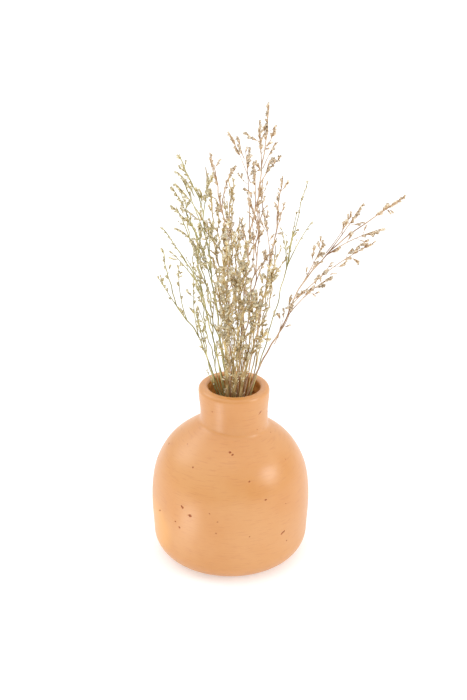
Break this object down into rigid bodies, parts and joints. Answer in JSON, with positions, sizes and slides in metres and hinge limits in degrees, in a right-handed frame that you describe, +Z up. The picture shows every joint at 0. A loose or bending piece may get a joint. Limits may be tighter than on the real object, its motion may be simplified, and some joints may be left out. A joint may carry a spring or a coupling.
{
  "type": "bud vase",
  "caption": "Small terracotta bottle vase with a short, slightly off-centre neck, holding a loose bunch of dried sea lavender sprigs that each lift out.",
  "frame": {"origin": "centre of the flat foot that the vase stands on", "axes": "+Z up; +X to the right of a person who faces the vase; +Y away from that person"},
  "size_m": [0.1501, 0.1, 0.2989],
  "materials": {
    "terracotta": "burnished satin",
    "dried_olive": "matt, dry",
    "dried_straw": "matt, dry",
    "dried_rose": "matt, dry"
  },
  "bodies": {
    "vase": {"vase_body": "terracotta"},
    "sprig_far_right": {"sprig_far_right": "dried_rose"},
    "sprig_pale_right": {"sprig_pale_right": "dried_olive"},
    "sprig_brown_right": {"sprig_brown_right": "dried_rose"},
    "sprig_tall_centre": {"sprig_tall_centre": "dried_rose"},
    "sprig_upper_left": {"sprig_upper_left": "dried_rose"},
    "sprig_left_arching": {"sprig_left_arching": "dried_olive"},
    "sprig_left_reaching": {"sprig_left_reaching": "dried_olive"},
    "sprig_low_left": {"sprig_low_left": "dried_olive"},
    "sprig_inner_01": {"sprig_inner_01": "dried_olive"},
    "sprig_inner_02": {"sprig_inner_02": "dried_olive"},
    "sprig_inner_03": {"sprig_inner_03": "dried_straw"},
    "sprig_inner_04": {"sprig_inner_04": "dried_straw"},
    "sprig_inner_05": {"sprig_inner_05": "dried_straw"},
    "sprig_inner_06": {"sprig_inner_06": "dried_olive"},
    "sprig_inner_07": {"sprig_inner_07": "dried_straw"},
    "sprig_inner_08": {"sprig_inner_08": "dried_straw"},
    "sprig_inner_09": {"sprig_inner_09": "dried_rose"},
    "sprig_inner_10": {"sprig_inner_10": "dried_straw"},
    "sprig_inner_11": {"sprig_inner_11": "dried_straw"},
    "sprig_inner_12": {"sprig_inner_12": "dried_rose"},
    "sprig_inner_13": {"sprig_inner_13": "dried_straw"},
    "sprig_inner_14": {"sprig_inner_14": "dried_olive"},
    "sprig_inner_15": {"sprig_inner_15": "dried_straw"},
    "sprig_inner_16": {"sprig_inner_16": "dried_straw"}
  },
  "joints": [
    {"name": "sprig_far_right_lift", "type": "slide", "parent": "vase", "child": "sprig_far_right", "axis": [0.2675, -0.0349, 0.9629], "range_m": [0, 0.125]},
    {"name": "sprig_pale_right_lift", "type": "slide", "parent": "vase", "child": "sprig_pale_right", "axis": [0.2679, 0.0737, 0.9606], "range_m": [0, 0.125]},
    {"name": "sprig_brown_right_lift", "type": "slide", "parent": "vase", "child": "sprig_brown_right", "axis": [0.1779, 0.0215, 0.9838], "range_m": [0, 0.125]},
    {"name": "sprig_tall_centre_lift", "type": "slide", "parent": "vase", "child": "sprig_tall_centre", "axis": [0.0825, -0.0329, 0.996], "range_m": [0, 0.125]},
    {"name": "sprig_upper_left_lift", "type": "slide", "parent": "vase", "child": "sprig_upper_left", "axis": [-0.0151, -0.0876, 0.996], "range_m": [0, 0.125]},
    {"name": "sprig_left_arching_lift", "type": "slide", "parent": "vase", "child": "sprig_left_arching", "axis": [-0.1113, -0.0297, 0.9933], "range_m": [0, 0.125]},
    {"name": "sprig_left_reaching_lift", "type": "slide", "parent": "vase", "child": "sprig_left_reaching", "axis": [-0.1113, -0.1405, 0.9838], "range_m": [0, 0.125]},
    {"name": "sprig_low_left_lift", "type": "slide", "parent": "vase", "child": "sprig_low_left", "axis": [-0.2933, -0.0255, 0.9557], "range_m": [0, 0.125]},
    {"name": "sprig_inner_01_lift", "type": "slide", "parent": "vase", "child": "sprig_inner_01", "axis": [-0.2048, -0.0827, 0.9753], "range_m": [0, 0.125]},
    {"name": "sprig_inner_02_lift", "type": "slide", "parent": "vase", "child": "sprig_inner_02", "axis": [-0.2028, -0.1899, 0.9606], "range_m": [0, 0.125]},
    {"name": "sprig_inner_03_lift", "type": "slide", "parent": "vase", "child": "sprig_inner_03", "axis": [-0.0159, -0.1969, 0.9803], "range_m": [0, 0.125]},
    {"name": "sprig_inner_04_lift", "type": "slide", "parent": "vase", "child": "sprig_inner_04", "axis": [0.0806, -0.144, 0.9863], "range_m": [0, 0.125]},
    {"name": "sprig_inner_05_lift", "type": "slide", "parent": "vase", "child": "sprig_inner_05", "axis": [0.1762, -0.0893, 0.9803], "range_m": [0, 0.125]},
    {"name": "sprig_inner_06_lift", "type": "slide", "parent": "vase", "child": "sprig_inner_06", "axis": [-0.2044, 0.0276, 0.9785], "range_m": [0, 0.125]},
    {"name": "sprig_inner_07_lift", "type": "slide", "parent": "vase", "child": "sprig_inner_07", "axis": [-0.1098, 0.0823, 0.9905], "range_m": [0, 0.125]},
    {"name": "sprig_inner_08_lift", "type": "slide", "parent": "vase", "child": "sprig_inner_08", "axis": [-0.0128, 0.1366, 0.9905], "range_m": [0, 0.125]},
    {"name": "sprig_inner_09_lift", "type": "slide", "parent": "vase", "child": "sprig_inner_09", "axis": [0.0833, 0.1887, 0.9785], "range_m": [0, 0.125]},
    {"name": "sprig_inner_10_lift", "type": "slide", "parent": "vase", "child": "sprig_inner_10", "axis": [0.175, 0.2367, 0.9557], "range_m": [0, 0.125]},
    {"name": "sprig_inner_11_lift", "type": "slide", "parent": "vase", "child": "sprig_inner_11", "axis": [0.1775, 0.1315, 0.9753], "range_m": [0, 0.125]},
    {"name": "sprig_inner_12_lift", "type": "slide", "parent": "vase", "child": "sprig_inner_12", "axis": [0.0834, 0.0794, 0.9933], "range_m": [0, 0.125]},
    {"name": "sprig_inner_13_lift", "type": "slide", "parent": "vase", "child": "sprig_inner_13", "axis": [-0.014, 0.025, 0.9996], "range_m": [0, 0.125]},
    {"name": "sprig_inner_14_lift", "type": "slide", "parent": "vase", "child": "sprig_inner_14", "axis": [-0.2015, 0.1369, 0.9699], "range_m": [0, 0.125]},
    {"name": "sprig_inner_15_lift", "type": "slide", "parent": "vase", "child": "sprig_inner_15", "axis": [-0.1071, 0.1912, 0.9757], "range_m": [0, 0.125]},
    {"name": "sprig_inner_16_lift", "type": "slide", "parent": "vase", "child": "sprig_inner_16", "axis": [-0.0114, 0.2433, 0.9699], "range_m": [0, 0.125]}
  ]
}
